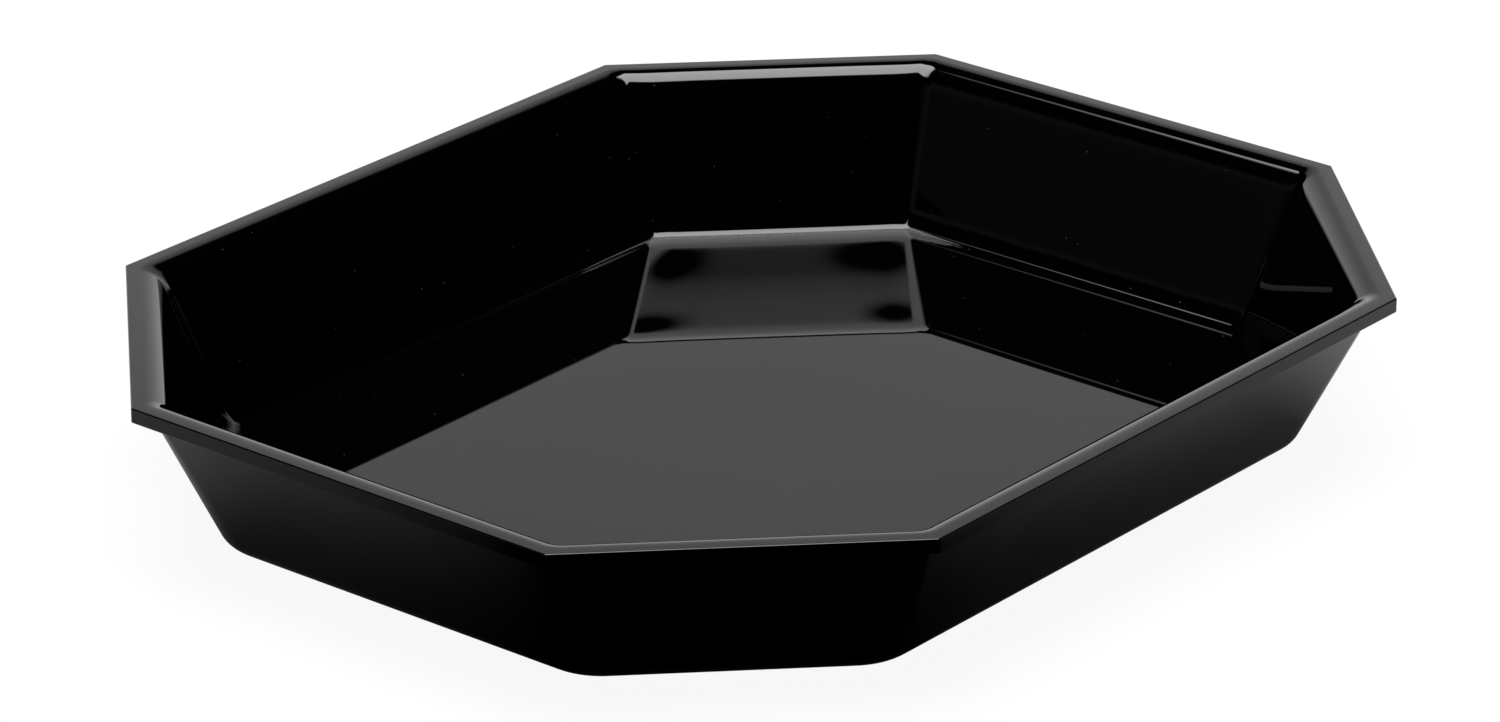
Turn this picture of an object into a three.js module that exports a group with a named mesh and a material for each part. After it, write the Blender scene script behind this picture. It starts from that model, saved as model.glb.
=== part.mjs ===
// Eight-sided open tray: a flat floor, sloping walls and a flat rim that overhangs them all round.
// Millimetres, +Z up. The origin is the middle of the base, on the plane that the tray stands on.
// The long side runs along X. The tray is one moulding, so it is one closed mesh.
import * as THREE from 'three';

// Plan of the rim.
const LENGTH = 325;
const WIDTH = 268;
const CORNER_CUT = 66.3; // how far each 45 degree side cuts in along X and along Y

// Section through a side, the same all round.
const HEIGHT = 45;
const RIM_THICKNESS = 4;
const RIM_FLAT = 3.5; // width of the flat top of the rim
const RIM_OVERHANG = 5.1; // from the rim's edge in to the outer wall
const OUTER_SLOPE = THREE.MathUtils.degToRad(23.4); // away from vertical
const FLOOR_THICKNESS = 3.1;
const EDGE_RADIUS = 0.4; // top and bottom edges of the rim
const BASE_ROLL = 7; // outer wall to base

// The rolls from the level rim and the level floor into the inner wall get flatter towards the wall.
// Each stretch has a radius and the angle from level that it ends at. Both rolls end at the wall's angle.
const INNER_WALL_ANGLE = 68;
const RIM_ROLL = [
  { radius: 7.2, end: 45 },
  { radius: 10.5, end: INNER_WALL_ANGLE },
];
const FLOOR_ROLL = [
  { radius: 3.4, end: 48 },
  { radius: 12, end: INNER_WALL_ANGLE },
];

// Radii of the eight corners, seen from above.
const RIM_CORNER = 0.8;
const INNER_CORNER_TOP = 7;
const INNER_CORNER_FLOOR = 4;
const OUTER_CORNER_TOP = 6; // outer wall, under the rim
const OUTER_CORNER_BASE = 19; // outer wall, just above the base roll

// Facets in each round stretch.
const EDGE_STEPS = 2;
const BASE_STEPS = 6;
const ROLL_STEPS = 4; // in each stretch of an inner roll
const CORNER_STEPS = 5;

const EIGHTH_TURN = Math.PI / 4;
const HALF_LENGTH = LENGTH / 2;
const HALF_WIDTH = WIDTH / 2;

// The eight sides, anticlockwise from +X: the direction each one faces and its distance from the origin.
const cornerSideDistance = (HALF_LENGTH + HALF_WIDTH - CORNER_CUT) * Math.SQRT1_2;
const SIDES = Array.from({ length: 8 }, (_, index) => {
  const angle = index * EIGHTH_TURN;
  const straight = index % 4 === 0 ? HALF_LENGTH : HALF_WIDTH;
  return {
    normal: new THREE.Vector2(Math.cos(angle), Math.sin(angle)),
    angle,
    distance: index % 2 === 0 ? straight : cornerSideDistance,
  };
});

// Where two lines meet, each given by its unit normal and its distance from the origin.
function meet(first, firstDistance, second, secondDistance) {
  const cross = first.x * second.y - first.y * second.x;
  return new THREE.Vector2(
    (firstDistance * second.y - secondDistance * first.y) / cross,
    (first.x * secondDistance - second.x * firstDistance) / cross,
  );
}

// The rim's octagon moved inwards by inset, with its corners rounded, as a ring of points.
function ring({ inset, z, corner }) {
  const points = [];
  for (let index = 0; index < 8; index += 1) {
    const side = SIDES[index];
    const next = SIDES[(index + 1) % 8];
    const shrink = inset + corner;
    const centre = meet(side.normal, side.distance - shrink, next.normal, next.distance - shrink);
    for (let step = 0; step <= CORNER_STEPS; step += 1) {
      const angle = side.angle + (EIGHTH_TURN * step) / CORNER_STEPS;
      points.push([centre.x + corner * Math.cos(angle), centre.y + corner * Math.sin(angle), z]);
    }
  }
  return points;
}

// A round stretch of the section: points on an arc, in inset and height, with one corner radius rule.
function arc({ inset, z, radius, from, to, steps, corner }) {
  return Array.from({ length: steps + 1 }, (_, step) => {
    const angle = from + ((to - from) * step) / steps;
    const pointInset = inset + radius * Math.cos(angle);
    return { inset: pointInset, z: z + radius * Math.sin(angle), corner: corner(pointInset) };
  });
}

// An inner roll, from level to the wall: how far across and how far along its height each point lies.
function roll(stretches) {
  const points = [{ across: 0, rise: 0 }];
  let from = 0;
  for (const { radius, end } of stretches) {
    const start = points.at(-1);
    const to = THREE.MathUtils.degToRad(end);
    for (let step = 1; step <= ROLL_STEPS; step += 1) {
      const angle = from + ((to - from) * step) / ROLL_STEPS;
      points.push({
        across: start.across + radius * (Math.sin(angle) - Math.sin(from)),
        rise: start.rise + radius * (Math.cos(from) - Math.cos(angle)),
      });
    }
    from = to;
  }
  return points;
}

// The section, from the middle of the base out and up round the rim and down to the middle of the floor.
function section() {
  const ledge = HEIGHT - RIM_THICKNESS;

  const baseEdge = RIM_OVERHANG + ledge * Math.tan(OUTER_SLOPE);
  const baseCentre = baseEdge + BASE_ROLL * Math.tan((Math.PI / 2 - OUTER_SLOPE) / 2);
  const baseWallInset = baseCentre - BASE_ROLL * Math.cos(OUTER_SLOPE);

  const depth = HEIGHT - FLOOR_THICKNESS;
  const rimRoll = roll(RIM_ROLL);
  const floorRoll = roll(FLOOR_ROLL);
  const rimReach = rimRoll.at(-1);
  const floorReach = floorRoll.at(-1);
  const wallRise = depth - rimReach.rise - floorReach.rise;
  const wallAcross = wallRise / Math.tan(THREE.MathUtils.degToRad(INNER_WALL_ANGLE));
  const floorEdge = RIM_FLAT + rimReach.across + wallAcross + floorReach.across;

  const innerPoint = (inset, z) => {
    const share = (z - FLOOR_THICKNESS) / depth;
    return { inset, z, corner: THREE.MathUtils.lerp(INNER_CORNER_FLOOR, INNER_CORNER_TOP, share) };
  };
  const rimCorner = (inset) => Math.max(RIM_CORNER - inset, RIM_CORNER / 2);
  const baseRoll = arc({
    inset: baseCentre,
    z: BASE_ROLL,
    radius: BASE_ROLL,
    from: -Math.PI / 2,
    to: -Math.PI + OUTER_SLOPE,
    steps: BASE_STEPS,
    corner: (inset) => OUTER_CORNER_BASE - (inset - baseWallInset),
  });
  const rimLowerEdge = arc({
    inset: EDGE_RADIUS,
    z: ledge + EDGE_RADIUS,
    radius: EDGE_RADIUS,
    from: -Math.PI / 2,
    to: -Math.PI,
    steps: EDGE_STEPS,
    corner: rimCorner,
  });
  const rimUpperEdge = arc({
    inset: EDGE_RADIUS,
    z: HEIGHT - EDGE_RADIUS,
    radius: EDGE_RADIUS,
    from: Math.PI,
    to: Math.PI / 2,
    steps: EDGE_STEPS,
    corner: rimCorner,
  });
  const innerTop = rimRoll.map(({ across, rise }) => innerPoint(RIM_FLAT + across, HEIGHT - rise));
  const innerFoot = floorRoll.map(({ across, rise }) => innerPoint(floorEdge - across, FLOOR_THICKNESS + rise));
  return [
    ...baseRoll,
    { inset: RIM_OVERHANG, z: ledge, corner: OUTER_CORNER_TOP },
    ...rimLowerEdge,
    ...rimUpperEdge,
    ...innerTop,
    ...innerFoot.reverse(),
  ];
}

// One closed skin: a band of triangles between each two rings, and a fan over the base and the floor.
function trayGeometry() {
  const rings = section().map(ring);
  const around = rings[0].length;
  const positions = rings.flat();
  const triangles = [];
  for (let row = 0; row + 1 < rings.length; row += 1) {
    for (let column = 0; column < around; column += 1) {
      const a = row * around + column;
      const b = row * around + ((column + 1) % around);
      triangles.push([a, b, b + around], [a, b + around, a + around]);
    }
  }
  const baseMiddle = positions.push([0, 0, 0]) - 1;
  const floorMiddle = positions.push([0, 0, FLOOR_THICKNESS]) - 1;
  const last = (rings.length - 1) * around;
  for (let column = 0; column < around; column += 1) {
    const next = (column + 1) % around;
    triangles.push([baseMiddle, next, column], [floorMiddle, last + column, last + next]);
  }
  const geometry = new THREE.BufferGeometry();
  geometry.setAttribute('position', new THREE.Float32BufferAttribute(positions.flat(), 3));
  geometry.setIndex(triangles.flat());
  geometry.computeVertexNormals();
  return geometry;
}

function octagonalTray() {
  const glossBlack = new THREE.MeshStandardMaterial({ color: 0x0b0b0c, roughness: 0.08, metalness: 0 });
  const mesh = new THREE.Mesh(trayGeometry(), glossBlack);
  mesh.name = 'octagonal_tray';
  return mesh;
}

const tray = new THREE.Group();
tray.add(octagonalTray());

export default tray;
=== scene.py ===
import math

import bmesh
import bpy
import numpy as np
from mathutils import Matrix, Vector


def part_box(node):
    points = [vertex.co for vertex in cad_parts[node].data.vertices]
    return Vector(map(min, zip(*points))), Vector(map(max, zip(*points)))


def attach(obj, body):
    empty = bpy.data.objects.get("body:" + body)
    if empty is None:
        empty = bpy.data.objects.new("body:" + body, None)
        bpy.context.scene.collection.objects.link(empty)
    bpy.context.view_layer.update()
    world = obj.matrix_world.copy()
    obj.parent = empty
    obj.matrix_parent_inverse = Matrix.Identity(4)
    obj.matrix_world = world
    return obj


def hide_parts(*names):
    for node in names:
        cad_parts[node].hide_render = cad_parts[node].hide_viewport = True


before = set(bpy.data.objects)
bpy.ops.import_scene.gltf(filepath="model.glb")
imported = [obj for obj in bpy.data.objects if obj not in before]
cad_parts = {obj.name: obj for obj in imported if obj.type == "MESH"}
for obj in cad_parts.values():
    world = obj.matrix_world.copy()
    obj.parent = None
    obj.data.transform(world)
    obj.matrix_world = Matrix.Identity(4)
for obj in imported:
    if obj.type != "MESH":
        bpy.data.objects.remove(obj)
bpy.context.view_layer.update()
scene = bpy.context.scene

NODE = "octagonal_tray"
MM = 0.001

# ---------------------------------------------------------------------------
# The tray's sizes, in millimetres. Its box comes from the CAD, the rest is as in the CAD source.
# ---------------------------------------------------------------------------
low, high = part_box(NODE)
HALF_LENGTH = (high.x - low.x) / MM / 2
HALF_WIDTH = (high.y - low.y) / MM / 2
HEIGHT = (high.z - low.z) / MM
CORNER_CUT = 66.3  # how far each 45 degree side cuts in along X and along Y
RIM_THICKNESS = 4.0
RIM_FLAT = 3.5  # width of the flat top of the rim
RIM_OVERHANG = 5.1  # from the rim's edge in to the outer wall
OUTER_SLOPE = math.radians(23.4)  # away from vertical
FLOOR_THICKNESS = 3.1
EDGE_RADIUS = 0.4  # top and bottom edges of the rim
BASE_ROLL = 7.0  # outer wall to base
RIM_ROLL, RIM_ROLL_END = 7.2, 45.0  # radius, and the angle from level that it ends at
FLOOR_ROLL, FLOOR_ROLL_END = 3.4, 49.0
# Between the two rolls: height, and the inner wall's angle from level there.
WALL_ANGLES = (
    (42.0, 50.3), (41.15, 55.6), (40.3, 62.5), (39.5, 67.3), (38.7, 67.8), (37.9, 68.0),
    (36.3, 68.08), (33.8, 68.05), (29.3, 68.0), (22.5, 68.02), (18.0, 68.1), (13.8, 68.03),
    (11.7, 67.96), (10.0, 67.92), (8.8, 67.74), (8.0, 67.3), (7.25, 62.5), (6.45, 55.5),
    (5.6, 51.5),
)
INNER_SLOPE = math.radians(68)  # what those angles average over the straight part

# Radii of the eight corners, seen from above.
RIM_CORNER = 0.8
UNDERSIDE_CORNER = 3.0
INNER_CORNER_TOP = 7.0
INNER_CORNER_FLOOR = 4.0
OUTER_CORNER_TOP = 6.0
OUTER_CORNER_BASE = 19.0

# How finely each stretch is cut.
CORNER_STEPS = 12
SIDE_STEPS = 26
ROLL_STEPS = 14
WALL_STEPS = 90
OUTER_WALL_STEPS = 22
UNDERSIDE_STEPS = 3
LOWER_EDGE_STEPS = 5
RIM_EDGE_STEPS = 3
UPPER_EDGE_STEPS = 6
RIM_FLAT_STEPS = 4
LEVEL_STEPS = 40  # rings that close in on the middle of the base or the floor
LEVEL_END = 0.02  # the innermost ring's share of the outermost

# ---------------------------------------------------------------------------
# The moulding isn't quite true. These are the faults that its reflections show, in millimetres.
# ---------------------------------------------------------------------------
# The floor dips in the middle, in a bell curve of these half widths along X and Y.
FLOOR_DIP = 0.45
DIP_X, DIP_Y = 92.0, 76.0
# The back and right walls have dents, bands that are steeper than the rest: side, its end, how far
# the dent reaches along the side from that end, height, half height, degrees steeper.
DENTED_SIDES = (0, 1)
DENTS = (
    (1, 1, 17.0, 14.0, 4.9, 1.6),
    (1, -1, 25.5, 13.0, 5.2, 1.55),
    (1, 1, 19.0, 36.7, 3.6, 2.1),
    (1, -1, 17.0, 35.2, 3.6, 2.1),
    (0, 1, 12.0, 8.6, 2.9, 2.4),
)
DENT_FADE = 2.24, 4.48  # distances from the end between which a dent sets in
# Close to their ends the same walls lean outwards about their mid height.
END_LEAN = math.radians(0.22)
END_FADE = 1.92, 4.16  # distances from the end between which the lean dies out
LEAN_LOW, LEAN_MIDDLE, LEAN_HIGH = 6.0, 23.0, 40.0
# A wall's faults set in where its inset is less than its neighbours' by these differences, and
# between these insets, from the floor outwards.
CORNER_FADE = 0.0, 1.2
FLOOR_FADE = 45.0, 30.0
BELL_REACH, BELL_STEPS = 4, 400  # how far out and how finely a dent's bell curve is summed

GLOSS, RIM, SATIN = 0, 1, 2  # the tray's finishes, in the order of its material slots

# ---------------------------------------------------------------------------
# Geometry
# ---------------------------------------------------------------------------
ANGLES = np.arange(8) * math.pi / 4
NORMALS = np.stack([np.cos(ANGLES), np.sin(ANGLES)], 1)
CORNER_SIDE = (HALF_LENGTH + HALF_WIDTH - CORNER_CUT) * math.sqrt(0.5)
DISTANCES = np.array([HALF_LENGTH, CORNER_SIDE, HALF_WIDTH, CORNER_SIDE] * 2)


def corner_centre(side, shrink):
    """Where a side and the next one meet once both have moved inwards."""
    a, b = NORMALS[side], NORMALS[(side + 1) % 8]
    p, q = DISTANCES[side] - shrink, DISTANCES[(side + 1) % 8] - shrink
    cross = a[0] * b[1] - a[1] * b[0]
    return np.array([(p * b[1] - q * a[1]) / cross, (a[0] * q - b[0] * p) / cross])


def ring(inset, z, corner):
    """One closed ring of points round the tray, its eight corners rounded."""
    arcs = []
    turn = np.linspace(0, math.pi / 4, CORNER_STEPS + 1)
    for side in range(8):
        centre = corner_centre(side, inset + corner)
        angle = ANGLES[side] + turn
        arcs.append(centre + corner * np.stack([np.cos(angle), np.sin(angle)], 1))
    points = []
    for side in range(8):
        points += [arcs[side], line(arcs[side][-1], arcs[(side + 1) % 8][0], SIDE_STEPS)]
    flat = np.concatenate(points)
    return np.column_stack([flat, np.full(len(flat), z)])


def arc(inset, z, radius, start, end, steps):
    """Points (inset, height) on a round stretch of the section."""
    angle = np.linspace(start, end, steps + 1)
    return np.stack([inset + radius * np.cos(angle), z + radius * np.sin(angle)], 1)


def line(start, end, steps):
    """The points that cut a straight stretch into steps, without its two ends."""
    share = np.linspace(0, 1, steps + 1)[1:-1, None]
    return np.asarray(start) + (np.asarray(end) - np.asarray(start)) * share


def roll(radius, end):
    """A roll from level to an angle in degrees: how far across and how high each point lies."""
    angle = np.linspace(0, math.radians(end), ROLL_STEPS + 1)
    return np.stack([radius * np.sin(angle), radius * (1 - np.cos(angle))], 1)


def inner_wall(top, foot_height):
    """Points down the inner wall from the rim's roll to the floor's, at the wall's angles."""
    heights, angles = zip(*WALL_ANGLES[::-1])
    knots = np.array([foot_height, *heights, top[1]])
    slopes = np.radians([FLOOR_ROLL_END, *angles, RIM_ROLL_END])
    z = np.linspace(top[1], foot_height, WALL_STEPS + 1)
    middle = (z[1:] + z[:-1]) / 2
    across = (z[:-1] - z[1:]) / np.tan(np.interp(middle, knots, slopes))
    return np.stack([top[0] + np.cumsum(across), z[1:]], 1)


def section():
    """The rings, from the foot up round the rim and down to the floor: inset, z, corner, finish."""
    quarter = math.pi / 2
    ledge = HEIGHT - RIM_THICKNESS
    depth = HEIGHT - FLOOR_THICKNESS

    base_edge = RIM_OVERHANG + ledge * math.tan(OUTER_SLOPE)
    base_centre = base_edge + BASE_ROLL * math.tan((quarter - OUTER_SLOPE) / 2)
    base_end = -math.pi + OUTER_SLOPE
    base_roll = arc(base_centre, BASE_ROLL, BASE_ROLL, -quarter, base_end, ROLL_STEPS)
    foot = base_roll[-1]
    under = (RIM_OVERHANG, ledge)

    edge = EDGE_RADIUS
    lower = arc(edge, ledge + edge, edge, -quarter, -math.pi, LOWER_EDGE_STEPS)
    upper = arc(edge, HEIGHT - edge, edge, math.pi, quarter, UPPER_EDGE_STEPS)

    rim_roll = np.array([RIM_FLAT, HEIGHT]) + roll(RIM_ROLL, RIM_ROLL_END) * [1, -1]
    floor_roll = roll(FLOOR_ROLL, FLOOR_ROLL_END)
    wall = inner_wall(rim_roll[-1], FLOOR_THICKNESS + floor_roll[-1, 1])
    floor_edge = wall[-1, 0] + floor_roll[-1, 0]
    floor_roll = (np.array([floor_edge, FLOOR_THICKNESS]) + floor_roll * [-1, 1])[-2::-1]

    def base_corner(point):
        return OUTER_CORNER_BASE - (point[0] - foot[0])

    def outer_corner(point):
        share = (point[1] - foot[1]) / (ledge - foot[1])
        return OUTER_CORNER_BASE + (OUTER_CORNER_TOP - OUTER_CORNER_BASE) * share

    def underside_corner(_):
        return UNDERSIDE_CORNER

    def rim_corner(point):
        return max(RIM_CORNER - point[0], RIM_CORNER / 2)

    def flat_corner(point):
        share = (point[0] - EDGE_RADIUS) / (RIM_FLAT - EDGE_RADIUS)
        return RIM_CORNER / 2 + (INNER_CORNER_TOP - RIM_CORNER / 2) * share

    def inner_corner(point):
        share = (HEIGHT - point[1]) / depth
        return INNER_CORNER_TOP + (INNER_CORNER_FLOOR - INNER_CORNER_TOP) * share

    stretches = (
        (base_roll, base_corner, SATIN),
        (line(foot, under, OUTER_WALL_STEPS), outer_corner, SATIN),
        (under, outer_corner, SATIN),
        (line(under, lower[0], UNDERSIDE_STEPS), underside_corner, SATIN),
        (lower, rim_corner, RIM),
        (line(lower[-1], upper[0], RIM_EDGE_STEPS), rim_corner, RIM),
        (upper, rim_corner, RIM),
        (line(upper[-1], rim_roll[0], RIM_FLAT_STEPS), flat_corner, RIM),
        (rim_roll, inner_corner, GLOSS),
        (wall, inner_corner, GLOSS),
        (floor_roll, inner_corner, GLOSS),
    )
    return [
        (point[0], point[1], corner(point), finish)
        for points, corner, finish in stretches
        for point in np.atleast_2d(points)
    ]


def smooth(value, start, end):
    """0 at the start and before it, 1 at the end and past it, with a smooth step between."""
    share = np.clip((value - start) / (end - start), 0, 1)
    return share * share * (3 - 2 * share)


def band(offset, half_height):
    """A bell curve over the height, summed from the middle of a band to an offset from it."""
    steps = np.linspace(-BELL_REACH, BELL_REACH, BELL_STEPS + 1)
    total = np.cumsum(np.exp(-steps ** 2)) * (steps[1] - steps[0])
    return half_height * np.interp(offset / half_height, steps, total - total[BELL_STEPS // 2])


def warp(points):
    """Give the inside the faults of a real moulding: the dip in its floor, and the dents."""
    x, y, z = points[..., 0].copy(), points[..., 1].copy(), points[..., 2].copy()
    points[..., 2] -= FLOOR_DIP * np.exp(-((x / DIP_X) ** 2 + (y / DIP_Y) ** 2))
    insets = DISTANCES - (x[..., None] * NORMALS[:, 0] + y[..., None] * NORMALS[:, 1])
    for side in DENTED_SIDES:
        own = insets[..., side]
        before, after = insets[..., (side - 1) % 8], insets[..., (side + 1) % 8]
        part = smooth(np.minimum(before, after) - own, *CORNER_FADE) * smooth(own, *FLOOR_FADE)
        # How far the point lies from each end of its wall: a corner turns by 45 degrees.
        corner_turn = math.sin(math.pi / 4)
        ends = {1: (after - own) / corner_turn, -1: (before - own) / corner_turn}
        near_end = 1 - smooth(np.minimum(ends[1], ends[-1]), *END_FADE)
        shift = -END_LEAN * near_end * (np.clip(z, LEAN_LOW, LEAN_HIGH) - LEAN_MIDDLE)
        for place, end, reach, height, half_height, degrees in DENTS:
            if place == side:
                share = np.clip(1 - ends[end] / reach, 0, 1) * smooth(ends[end], *DENT_FADE)
                shift += math.radians(degrees) * share * band(z - height, half_height)
        shift *= part / math.sin(INNER_SLOPE) ** 2
        points[..., :2] -= shift[..., None] * NORMALS[side]


def fan(middle, ends):
    """The triangles between a middle point and each pair of ring points."""
    return [[middle, int(i), int(j)] for i, j in ends]


def vertex_normals(points, *face_sets):
    """Normals weighted by face area. They keep the wide faces true next to the small edge radii."""
    normals = np.zeros((len(points), 3))
    for faces in face_sets:
        faces = np.array(faces)
        corners = points[faces]
        area = np.cross(corners[:, 2] - corners[:, 0], corners[:, -1] - corners[:, 1]) / 2
        for column in faces.T:
            np.add.at(normals, column, area)
    return normals / np.linalg.norm(normals, axis=1)[:, None]


def build_tray():
    rows = section()
    rings = np.stack([ring(inset, z, corner) for inset, z, corner, _ in rows])
    finish = [row[3] for row in rows]
    around = rings.shape[1]

    # The base and the floor are rings that close in on the middle.
    shares = np.linspace(1, LEVEL_END, LEVEL_STEPS)[1:, None, None]
    base = rings[0][None] * np.array([1, 1, 0]) * shares
    floor = rings[-1][None] * shares
    floor[..., 2] = FLOOR_THICKNESS
    first_inside = finish.index(GLOSS)
    inside = np.concatenate([rings[first_inside:], floor])
    warp(inside)
    rings = np.concatenate([base[::-1], rings[:first_inside], inside])
    finish = [SATIN] * len(base) + finish + [GLOSS] * len(floor)

    middles = [[0, 0, 0], [0, 0, FLOOR_THICKNESS - FLOOR_DIP]]
    points = np.concatenate([rings.reshape(-1, 3), middles])
    points[:, 2] = np.maximum(points[:, 2], 0)
    column = np.arange(around)
    after = (column + 1) % around
    quads, slots = [], []
    for row in range(len(rings) - 1):
        a, b = row * around + column, row * around + after
        quads += np.stack([a, b, b + around, a + around], 1).tolist()
        slots += [finish[row + 1]] * around
    last = (len(rings) - 1) * around
    triangles = fan(len(points) - 2, zip(after, column))
    triangles += fan(len(points) - 1, zip(last + column, last + after))
    slots += [SATIN] * around + [GLOSS] * around

    mesh = bpy.data.meshes.new("tray_moulding")
    mesh.from_pydata((points * MM).tolist(), [], quads + triangles)
    mesh.polygons.foreach_set("material_index", slots)
    mesh.polygons.foreach_set("use_smooth", [True] * len(slots))
    mesh.update()
    mesh.normals_split_custom_set_from_vertices(vertex_normals(points, quads, triangles).tolist())

    tray = bpy.data.objects.new("tray_moulding", mesh)
    scene.collection.objects.link(tray)
    return tray


# ---------------------------------------------------------------------------
# Materials
# ---------------------------------------------------------------------------
class Nodes:
    """A short way to write a node tree."""

    def __init__(self, tree):
        self.tree = tree
        tree.nodes.clear()

    def add(self, kind, inputs=None, **settings):
        """A node with its settings, and each input linked to a socket or set to a value."""
        node = self.tree.nodes.new(kind)
        for key, value in settings.items():
            setattr(node, key, value)
        for key, value in (inputs or {}).items():
            if isinstance(value, bpy.types.NodeSocket):
                self.tree.links.new(value, node.inputs[key])
            else:
                node.inputs[key].default_value = value
        return node

    def math(self, operation, a, b=0.0, c=0.0):
        return self.add("ShaderNodeMath", {0: a, 1: b, 2: c}, operation=operation).outputs[0]

    def range(self, value, a, b, low=0.0, high=1.0, kind="SMOOTHSTEP"):
        """Low at a and before it, high at b and past it."""
        inputs = {"Value": value, "From Min": a, "From Max": b, "To Min": low, "To Max": high}
        return self.add("ShaderNodeMapRange", inputs, interpolation_type=kind).outputs["Result"]

    def mix(self, share, a, b):
        # A colour mix has its factor at input 0, its colours at 6 and 7 and its result at output 2.
        return self.add("ShaderNodeMix", {0: share, 6: a, 7: b}, data_type="RGBA").outputs[2]

    def noise(self, vector, scale, detail):
        inputs = {"Vector": vector, "Scale": scale, "Detail": detail}
        return self.add("ShaderNodeTexNoise", inputs).outputs["Fac"]

    def coordinates(self, kind):
        return self.add("ShaderNodeTexCoord").outputs[kind]

    def parts(self, vector):
        """The X, Y and Z of a vector."""
        return self.add("ShaderNodeSeparateXYZ", {0: vector}).outputs

    def emission(self, colour, strength):
        return self.add("ShaderNodeEmission", {"Color": colour, "Strength": strength}).outputs[0]

    def diffuse(self, colour):
        return self.add("ShaderNodeBsdfDiffuse", {"Color": colour}).outputs[0]

    def sum(self, first, second):
        return self.add("ShaderNodeAddShader", {0: first, 1: second}).outputs[0]

    def surface(self, shader, kind="ShaderNodeOutputMaterial"):
        self.add(kind, {"Surface": shader})


def new_material(name):
    material = bpy.data.materials.new(name)
    material.use_nodes = True
    return material, Nodes(material.node_tree)


# By slot: name, base colour, roughness, its swing, strength of the orange peel, share of the cells
# that hold a dust speck.
PLASTICS = (
    ("plastic_inside", (0.0004, 0.0004, 0.0005), 0.012, 0.004, 0.02, 0.4),
    ("plastic_rim", (0.0004, 0.0004, 0.0005), 0.05, 0.01, 0.02, 0.3),
    ("plastic_outside", (0.0004, 0.0004, 0.0004), 0.10, 0.02, 0.04, 0.3),
)
PLASTIC_IOR = 1.5
CLOUD_SCALE, CLOUD_DETAIL = 38.0, 3.0  # the noise behind the roughness and the tint
ROUGH_CLOUD = 0.3, 0.7  # noise values between which the roughness swings
TINT_CLOUD = 0.2, 0.8  # and between which the tint goes from dark to pale
TINT_DARK, TINT_PALE = 0.85, 1.15
DUST_SCALE = 240.0
DUST_SMALL, DUST_LARGE = 0.03, 0.065  # radii, in cells
DUST_COLOUR = (0.04, 0.04, 0.043, 1)
PEEL_SCALE, PEEL_DETAIL = 9.0, 1.0
PEEL_DEPTH = 0.0003


def black_plastic(name, base, roughness, swing, peel, dust):
    """Moulded black plastic: near-black body, clear gloss, faint orange peel and a little dust."""
    material, n = new_material(name)
    where = n.coordinates("Object")

    cloud = n.noise(where, CLOUD_SCALE, CLOUD_DETAIL)
    rough = n.range(cloud, *ROUGH_CLOUD, roughness - swing, roughness + swing)

    # Dust: small pale specks, sparse and of uneven size.
    cells = n.add("ShaderNodeTexVoronoi", {"Vector": where, "Scale": DUST_SCALE}).outputs
    pick = n.add("ShaderNodeSeparateColor", {"Color": cells["Color"]}).outputs
    size = n.range(pick[0], 0.0, 1.0, DUST_SMALL, DUST_LARGE, "LINEAR")
    inside = n.math("LESS_THAN", cells["Distance"], size)
    speck = n.math("MULTIPLY", inside, n.math("LESS_THAN", pick[1], dust))

    dark, pale = ((*[v * tint for v in base], 1) for tint in (TINT_DARK, TINT_PALE))
    colour = n.mix(n.range(cloud, *TINT_CLOUD), dark, pale)
    colour = n.mix(speck, colour, DUST_COLOUR)

    wave = n.noise(where, PEEL_SCALE, PEEL_DETAIL)
    bump = n.add("ShaderNodeBump", {"Strength": peel, "Distance": PEEL_DEPTH, "Height": wave})
    shader = n.add("ShaderNodeBsdfPrincipled", {
        "Base Color": colour,
        "Roughness": rough,
        "IOR": PLASTIC_IOR,
        "Normal": bump.outputs["Normal"],
    })
    n.surface(shader.outputs[0])
    return material


# ---------------------------------------------------------------------------
# The camera
# ---------------------------------------------------------------------------
CAMERA_AZIMUTH = math.radians(-50.805)
CAMERA_ELEVATION = math.radians(23.157)
CAMERA_ROLL = math.radians(0.148)
CAMERA_DISTANCE = 1.6708
CAMERA_LENS = 159.32
CAMERA_SENSOR = 36
CAMERA_CLIP = 0.05, 200
CAMERA_TARGET = Vector((-0.04181, -0.03153, 0.045))


def make_camera():
    back = Vector((
        math.sin(CAMERA_AZIMUTH) * math.cos(CAMERA_ELEVATION),
        -math.cos(CAMERA_AZIMUTH) * math.cos(CAMERA_ELEVATION),
        math.sin(CAMERA_ELEVATION),
    ))
    across = Vector((0, 0, 1)).cross(back).normalized()
    up = back.cross(across)
    right = across * math.cos(CAMERA_ROLL) + up * math.sin(CAMERA_ROLL)
    top = up * math.cos(CAMERA_ROLL) - across * math.sin(CAMERA_ROLL)
    place = CAMERA_TARGET + back * CAMERA_DISTANCE
    data = bpy.data.cameras.new("camera")
    data.sensor_width = CAMERA_SENSOR
    data.lens = CAMERA_LENS
    data.clip_start, data.clip_end = CAMERA_CLIP
    camera = bpy.data.objects.new("camera", data)
    camera.matrix_world = Matrix([
        (right.x, top.x, back.x, place.x),
        (right.y, top.y, back.y, place.y),
        (right.z, top.z, back.z, place.z),
        (0, 0, 0, 1),
    ])
    scene.collection.objects.link(camera)
    scene.camera = camera


# ---------------------------------------------------------------------------
# The studio
# ---------------------------------------------------------------------------
# From +X, away from the camera.
VIEW_HEADING = math.atan2(math.cos(CAMERA_AZIMUTH), -math.sin(CAMERA_AZIMUTH))
WHITE = (1, 1, 1, 1)

SOFTBOX_HEIGHT = 8.0
SOFTBOX_TURN = math.radians(4)  # from square to the camera
SOFTBOX_RADIANCE = 7.7
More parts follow.
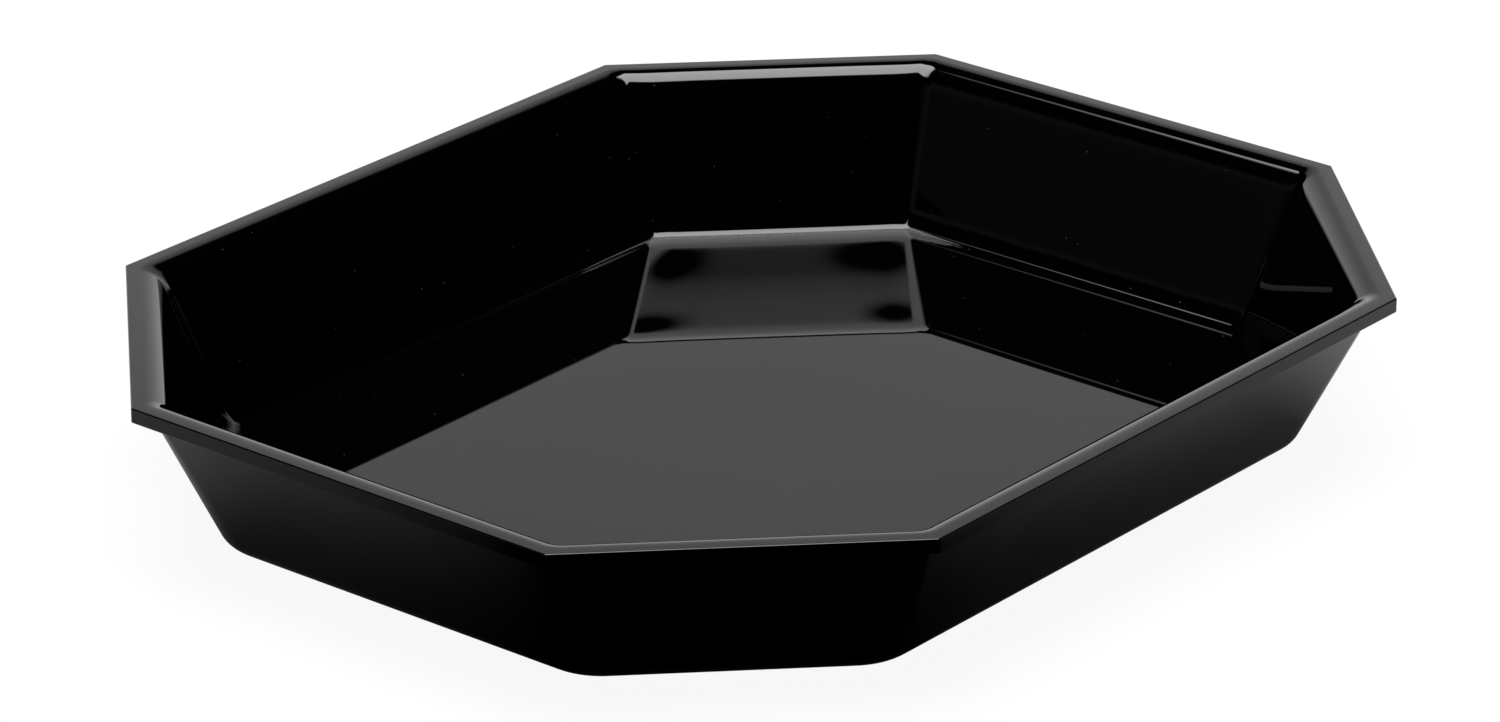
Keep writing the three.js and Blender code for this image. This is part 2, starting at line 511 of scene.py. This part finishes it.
# Its edges, in heights, each with how far in from it the light fades.
SOFTBOX_NEAR, NEAR_FADE = -0.428, 0.06
SOFTBOX_FAR, FAR_FADE = 0.484, 0.07
SOFTBOX_RIGHT, RIGHT_FADE = -0.46, 0.14
SOFTBOX_LEFT, LEFT_FADE = 0.6, 0.24

FLOOR_HALF = 13
FLOOR_DROP = 0.001
FLOOR_COLOUR = (0.06, 0.06, 0.06, 1)
FLOOR_GLOW = 0.93

TABLE_HALF = 30
TABLE_DROP = 0.0005
# Painted light: the table's glow, as a share of its shade, which lifts it where the tray shades it.
TABLE_PAINTED_LIGHT = 0.2
TABLE_PALE = 0.56
TABLE_BLACK_UNTIL, TABLE_PALE_FROM = -0.12, 0.14  # metres past the tray's middle
TABLE_SPREAD = 0.3  # how much earlier it gets pale for each metre to either side
TABLE_SKEW = 0.1  # and how much earlier still for each metre to the left

BACKDROP_RADIUS = 14
BACKDROP_SEGMENTS, BACKDROP_RINGS = 48, 24
BACKDROP_GLOW = 1.02

# The sweep's light by degrees above the horizon.
SWEEP = (
    (0, 1), (10, 1), (14, 0.93), (20, 0.78), (22.5, 0.69), (24.5, 0.57), (28, 0.55), (37, 0.48),
    (44, 0),
)
SWEEP_TOP = 45
# Degrees from the view heading, left positive, between which each end of the sweep fades in.
SWEEP_LEFT = 29.6, 28.4
SWEEP_RIGHT = -54, -40
# A faint light on the tray's left: its heading, and the degrees to either side of it and above the
# horizon between which it fades in. Its strength grows with height, between two more angles.
SIDE_HEADING = math.radians(143)
SIDE_SPREAD = 55, 30
SIDE_TOP = 35, 25
SIDE_GROWTH = 10, 20
SIDE_LEVELS = 0.015, 0.07


def show_to(obj, *kinds):
    """Let only these kinds of rays see a stage object."""
    for kind in ("camera", "diffuse", "glossy", "transmission", "volume_scatter", "shadow"):
        setattr(obj, "visible_" + kind, kind in kinds)


def stage_object(name, mesh):
    """A stage object with a new material, and the nodes of that material."""
    obj = bpy.data.objects.new(name, mesh)
    scene.collection.objects.link(obj)
    material, n = new_material(name)
    mesh.materials.append(material)
    return obj, n


def rectangle(name, x0, x1, y0, y1):
    mesh = bpy.data.meshes.new(name)
    mesh.from_pydata([(x0, y0, 0), (x1, y0, 0), (x1, y1, 0), (x0, y1, 0)], [], [(0, 1, 2, 3)])
    return stage_object(name, mesh)


def square(name, half):
    return rectangle(name, -half, half, -half, half)


def placed(height, heading):
    """A level place above the origin, turned to a heading."""
    return Matrix.Translation((0, 0, height)) @ Matrix.Rotation(heading, 4, "Z")


def make_softbox():
    """A large overhead softbox with soft edges, softest on the left and right."""
    h = SOFTBOX_HEIGHT
    sides = SOFTBOX_NEAR * h, SOFTBOX_FAR * h, SOFTBOX_RIGHT * h, SOFTBOX_LEFT * h
    box, n = rectangle("softbox", *sides)
    box.matrix_world = placed(h, VIEW_HEADING + SOFTBOX_TURN)
    spot = n.parts(n.coordinates("Object"))
    strength = SOFTBOX_RADIANCE
    for value, edge, fade in (
        (spot[0], SOFTBOX_NEAR, NEAR_FADE),
        (spot[0], SOFTBOX_FAR, -FAR_FADE),
        (spot[1], SOFTBOX_RIGHT, RIGHT_FADE),
        (spot[1], SOFTBOX_LEFT, -LEFT_FADE),
    ):
        strength = n.math("MULTIPLY", strength, n.range(value, edge * h, (edge + fade) * h))
    n.surface(n.emission(WHITE, strength))
    show_to(box, "diffuse", "glossy", "transmission")


def make_floor():
    """The pale floor that the camera sees. From below it is clear, so that it hides nothing."""
    floor, n = square("floor", FLOOR_HALF)
    floor.location.z = -FLOOR_DROP
    lit = n.sum(n.diffuse(FLOOR_COLOUR), n.emission(WHITE, FLOOR_GLOW))
    clear = n.add("ShaderNodeBsdfTransparent").outputs[0]
    below = n.add("ShaderNodeNewGeometry").outputs["Backfacing"]
    n.surface(n.add("ShaderNodeMixShader", {0: below, 1: lit, 2: clear}).outputs[0])
    show_to(floor, "camera")


def make_table():
    """The darker, graded table that the glossy tray reflects: black towards the camera, pale behind
    and to the sides, with a painted glow of light added on top of its own shading.
    """
    table, n = square("table", TABLE_HALF)
    table.matrix_world = placed(-TABLE_DROP, VIEW_HEADING)
    spot = n.parts(n.coordinates("Object"))
    past = n.math("MULTIPLY_ADD", n.math("ABSOLUTE", spot[1]), TABLE_SPREAD, spot[0])
    past = n.math("MULTIPLY_ADD", spot[1], TABLE_SKEW, past)
    shade = n.range(past, TABLE_BLACK_UNTIL, TABLE_PALE_FROM, 0.0, TABLE_PALE, "LINEAR")
    # The table's shade, lit by the studio, plus a painted glow of light.
    n.surface(n.sum(n.diffuse(shade), n.emission(shade, TABLE_PAINTED_LIGHT)))
    show_to(table, "glossy")


def make_backdrop():
    """The plain pale surround behind the floor."""
    mesh = bpy.data.meshes.new("backdrop")
    shell = bmesh.new()
    bmesh.ops.create_uvsphere(
        shell, u_segments=BACKDROP_SEGMENTS, v_segments=BACKDROP_RINGS, radius=BACKDROP_RADIUS
    )
    shell.to_mesh(mesh)
    shell.free()
    dome, n = stage_object("backdrop", mesh)
    n.surface(n.emission(WHITE, BACKDROP_GLOW))
    show_to(dome, "camera")


def make_world():
    """A dark room with a white sweep behind the tray, brightest at the horizon."""
    world = bpy.data.worlds.new("studio")
    scene.world = world
    world.use_nodes = True
    n = Nodes(world.node_tree)
    way = n.parts(n.coordinates("Generated"))
    rise = n.math("ARCSINE", way[2])
    heading = n.math("ARCTAN2", way[1], way[0])

    def turned(angle):
        """How far the direction is turned from a heading, left positive."""
        return n.math("WRAP", n.math("SUBTRACT", heading, angle), math.pi, -math.pi)

    def fade(value, degrees, *levels):
        """A smooth step between two angles in degrees, from 0 to 1 or between two levels."""
        return n.range(value, *map(math.radians, degrees), *levels)

    height = n.range(rise, 0, math.radians(SWEEP_TOP), kind="LINEAR")
    curve = n.add("ShaderNodeFloatCurve", {"Value": height})
    points = curve.mapping.curves[0].points
    shape = [(degrees / SWEEP_TOP, light) for degrees, light in SWEEP]
    points[0].location, points[1].location = shape[0], (1.0, 0.0)
    for x, y in shape[1:]:
        points.new(x, y)
    curve.mapping.update()
    aside = turned(VIEW_HEADING)
    width = n.math("MULTIPLY", fade(aside, SWEEP_LEFT), fade(aside, SWEEP_RIGHT))
    sweep = n.math("MULTIPLY", curve.outputs[0], width)

    side = n.math("MULTIPLY", fade(rise, SIDE_GROWTH, *SIDE_LEVELS), fade(rise, SIDE_TOP))
    spread = fade(n.math("ABSOLUTE", turned(SIDE_HEADING)), SIDE_SPREAD)
    side = n.math("MULTIPLY", side, spread)

    shader = n.add("ShaderNodeBackground", {"Color": n.math("ADD", sweep, side)})
    n.surface(shader.outputs[0], "ShaderNodeOutputWorld")


make_camera()

tray = build_tray()
for plastic in PLASTICS:
    tray.data.materials.append(black_plastic(*plastic))
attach(tray, "root")
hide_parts(NODE)

make_softbox()
make_floor()
make_table()
make_backdrop()
make_world()
scene.view_settings.view_transform = "Standard"
scene.view_settings.look = "None"
